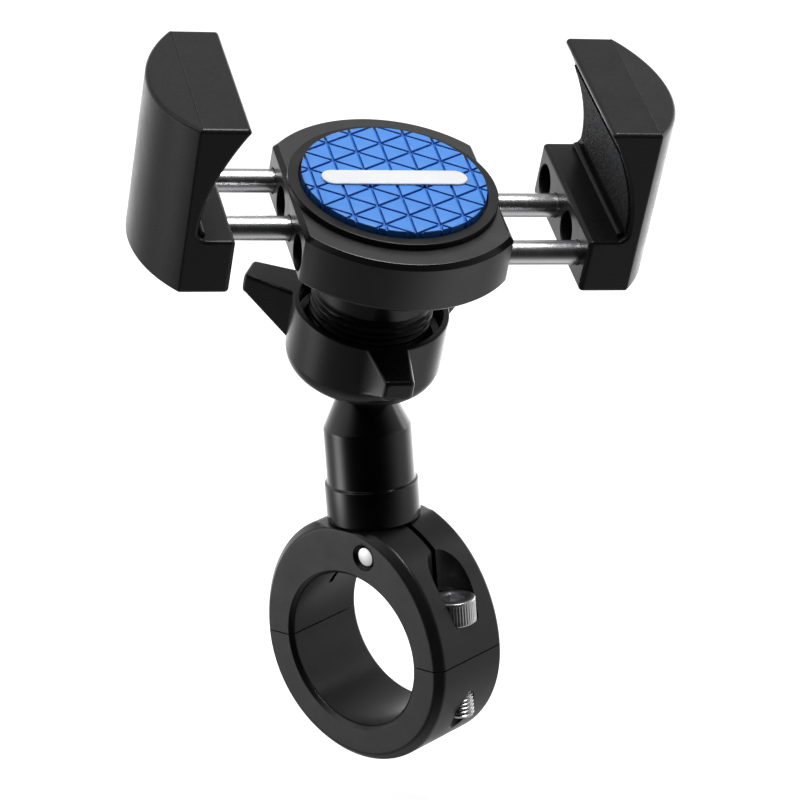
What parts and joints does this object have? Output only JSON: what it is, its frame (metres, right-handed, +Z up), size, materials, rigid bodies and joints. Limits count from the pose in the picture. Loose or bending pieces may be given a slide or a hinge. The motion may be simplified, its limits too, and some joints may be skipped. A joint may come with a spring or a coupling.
{
  "type": "phone handlebar mount",
  "caption": "Phone holder with spring-loaded sliding jaws on rods, a round grip pad, a lockable ball joint and post, and a split clamp for a round handlebar.",
  "frame": {"origin": "a point on the back face of the clamp, 19.3 mm below the axis of the handlebar bore", "axes": "+Z up along the post, +X along the handlebar and out of the back face, +Y across it"},
  "size_m": [0.0951, 0.0868, 0.1522],
  "materials": {
    "black_metal": "black anodised, satin",
    "dark_steel": "black oxide",
    "grey_metal": "dark grey anodised, satin",
    "steel": "polished stainless steel",
    "spring_steel": "drawn spring wire",
    "black_plastic": "moulded, semi-gloss",
    "jaw_plastic": "moulded, satin",
    "pale_plastic": "natural acetal",
    "black_rubber": "textured",
    "blue_rubber": "matt silicone",
    "white_rubber": "matt silicone"
  },
  "bodies": {
    "clamp": {"clamp_upper_half": "black_metal"},
    "lower_clamp": {"clamp_lower_half": "black_metal"},
    "left_clamp_screw": {"clamp_screw_left": "steel"},
    "right_clamp_screw": {"clamp_screw_right": "steel"},
    "pinch": {"pinch_screw": "steel"},
    "post": {"ball_post": "black_metal"},
    "upper_seat": {"ball_seat_upper": "pale_plastic"},
    "lower_seat": {"ball_seat_lower": "pale_plastic"},
    "holder": {"ball_socket": "black_metal", "holder_housing": "grey_metal", "pad_carrier": "black_plastic", "grip_pad": "blue_rubber", "pad_bar": "white_rubber", "spring_left_1": "spring_steel", "spring_left_2": "spring_steel", "spring_right_1": "spring_steel", "spring_right_2": "spring_steel"},
    "ring": {"compression_ring": "pale_plastic"},
    "collar": {"locking_collar": "black_plastic"},
    "left_grip": {"left_jaw": "jaw_plastic", "left_jaw_liner": "black_rubber", "rod_left_1": "steel", "rod_left_2": "steel", "spring_stop_left_1": "steel", "spring_stop_left_2": "steel", "grub_screw_left_1": "dark_steel", "grub_screw_left_2": "dark_steel"},
    "right_grip": {"right_jaw": "jaw_plastic", "right_jaw_liner": "black_rubber", "rod_right_1": "steel", "rod_right_2": "steel", "spring_stop_right_1": "steel", "spring_stop_right_2": "steel", "grub_screw_right_1": "dark_steel", "grub_screw_right_2": "dark_steel"}
  },
  "joints": [
    {"name": "clamp_screw_left_turn", "type": "hinge", "parent": "clamp", "child": "left_clamp_screw", "pos_m": [-0.01, 0.0196, 0.0193], "axis": [0, 0, 1], "range_deg": [0, 5760]},
    {"name": "clamp_screw_right_turn", "type": "hinge", "parent": "clamp", "child": "right_clamp_screw", "pos_m": [-0.01, -0.0196, 0.0193], "axis": [0, 0, 1], "range_deg": [0, 5760]},
    {"name": "lower_clamp_slide", "type": "slide", "parent": "clamp", "child": "lower_clamp", "axis": [0, 0, -1], "range_m": [0, 0.0128]},
    {"name": "pinch_screw_turn", "type": "hinge", "parent": "clamp", "child": "pinch", "pos_m": [-0.01, -0.0055, 0.04], "axis": [1, 0, 0], "range_deg": [0, 360]},
    {"name": "post_swivel", "type": "hinge", "parent": "clamp", "child": "post", "pos_m": [-0.01, 0, 0.0447], "axis": [0, 0, 1], "range_deg": [-180, 180]},
    {"name": "ball_lean", "type": "hinge", "parent": "post", "child": "upper_seat", "pos_m": [-0.01, 0, 0.078], "axis": [0.9673, -0.2538, 0], "range_deg": [-50, 5]},
    {"name": "ball_side_lean", "type": "hinge", "parent": "upper_seat", "child": "lower_seat", "pos_m": [-0.01, 0, 0.078], "axis": [0.2338, 0.891, 0.3891], "range_deg": [-12, 12]},
    {"name": "holder_spin", "type": "hinge", "parent": "lower_seat", "child": "holder", "pos_m": [-0.01, 0, 0.078], "axis": [-0.0987, -0.3764, 0.9212], "range_deg": [-180, 180]},
    {"name": "collar_turn", "type": "hinge", "parent": "ring", "child": "collar", "pos_m": [-0.01, 0, 0.078], "axis": [-0.0987, -0.3764, 0.9212], "range_deg": [-180, 10]},
    {"name": "ring_slide", "type": "slide", "parent": "holder", "child": "ring", "axis": [-0.0987, -0.3764, 0.9212], "range_m": [-0.0008, 0.0001]},
    {"name": "left_jaw_slide", "type": "slide", "parent": "holder", "child": "left_grip", "axis": [-0.8251, 0.5484, 0.1356], "range_m": [-0.0129, 0.005], "stiffness_N_per_m": 150, "deforming": ["spring_left_1", "spring_left_2"]},
    {"name": "right_jaw_slide", "type": "slide", "parent": "holder", "child": "right_grip", "axis": [0.8251, -0.5484, -0.1356], "range_m": [-0.0141, 0.005], "stiffness_N_per_m": 150, "deforming": ["spring_right_1", "spring_right_2"]}
  ],
  "couplings": [
    {"joint": "clamp_screw_left_turn", "follows": "lower_clamp_slide", "rad_per_m": 7854},
    {"joint": "clamp_screw_right_turn", "follows": "lower_clamp_slide", "rad_per_m": 7854},
    {"joint": "ring_slide", "follows": "collar_turn", "m_per_rad": 0.00023873}
  ]
}
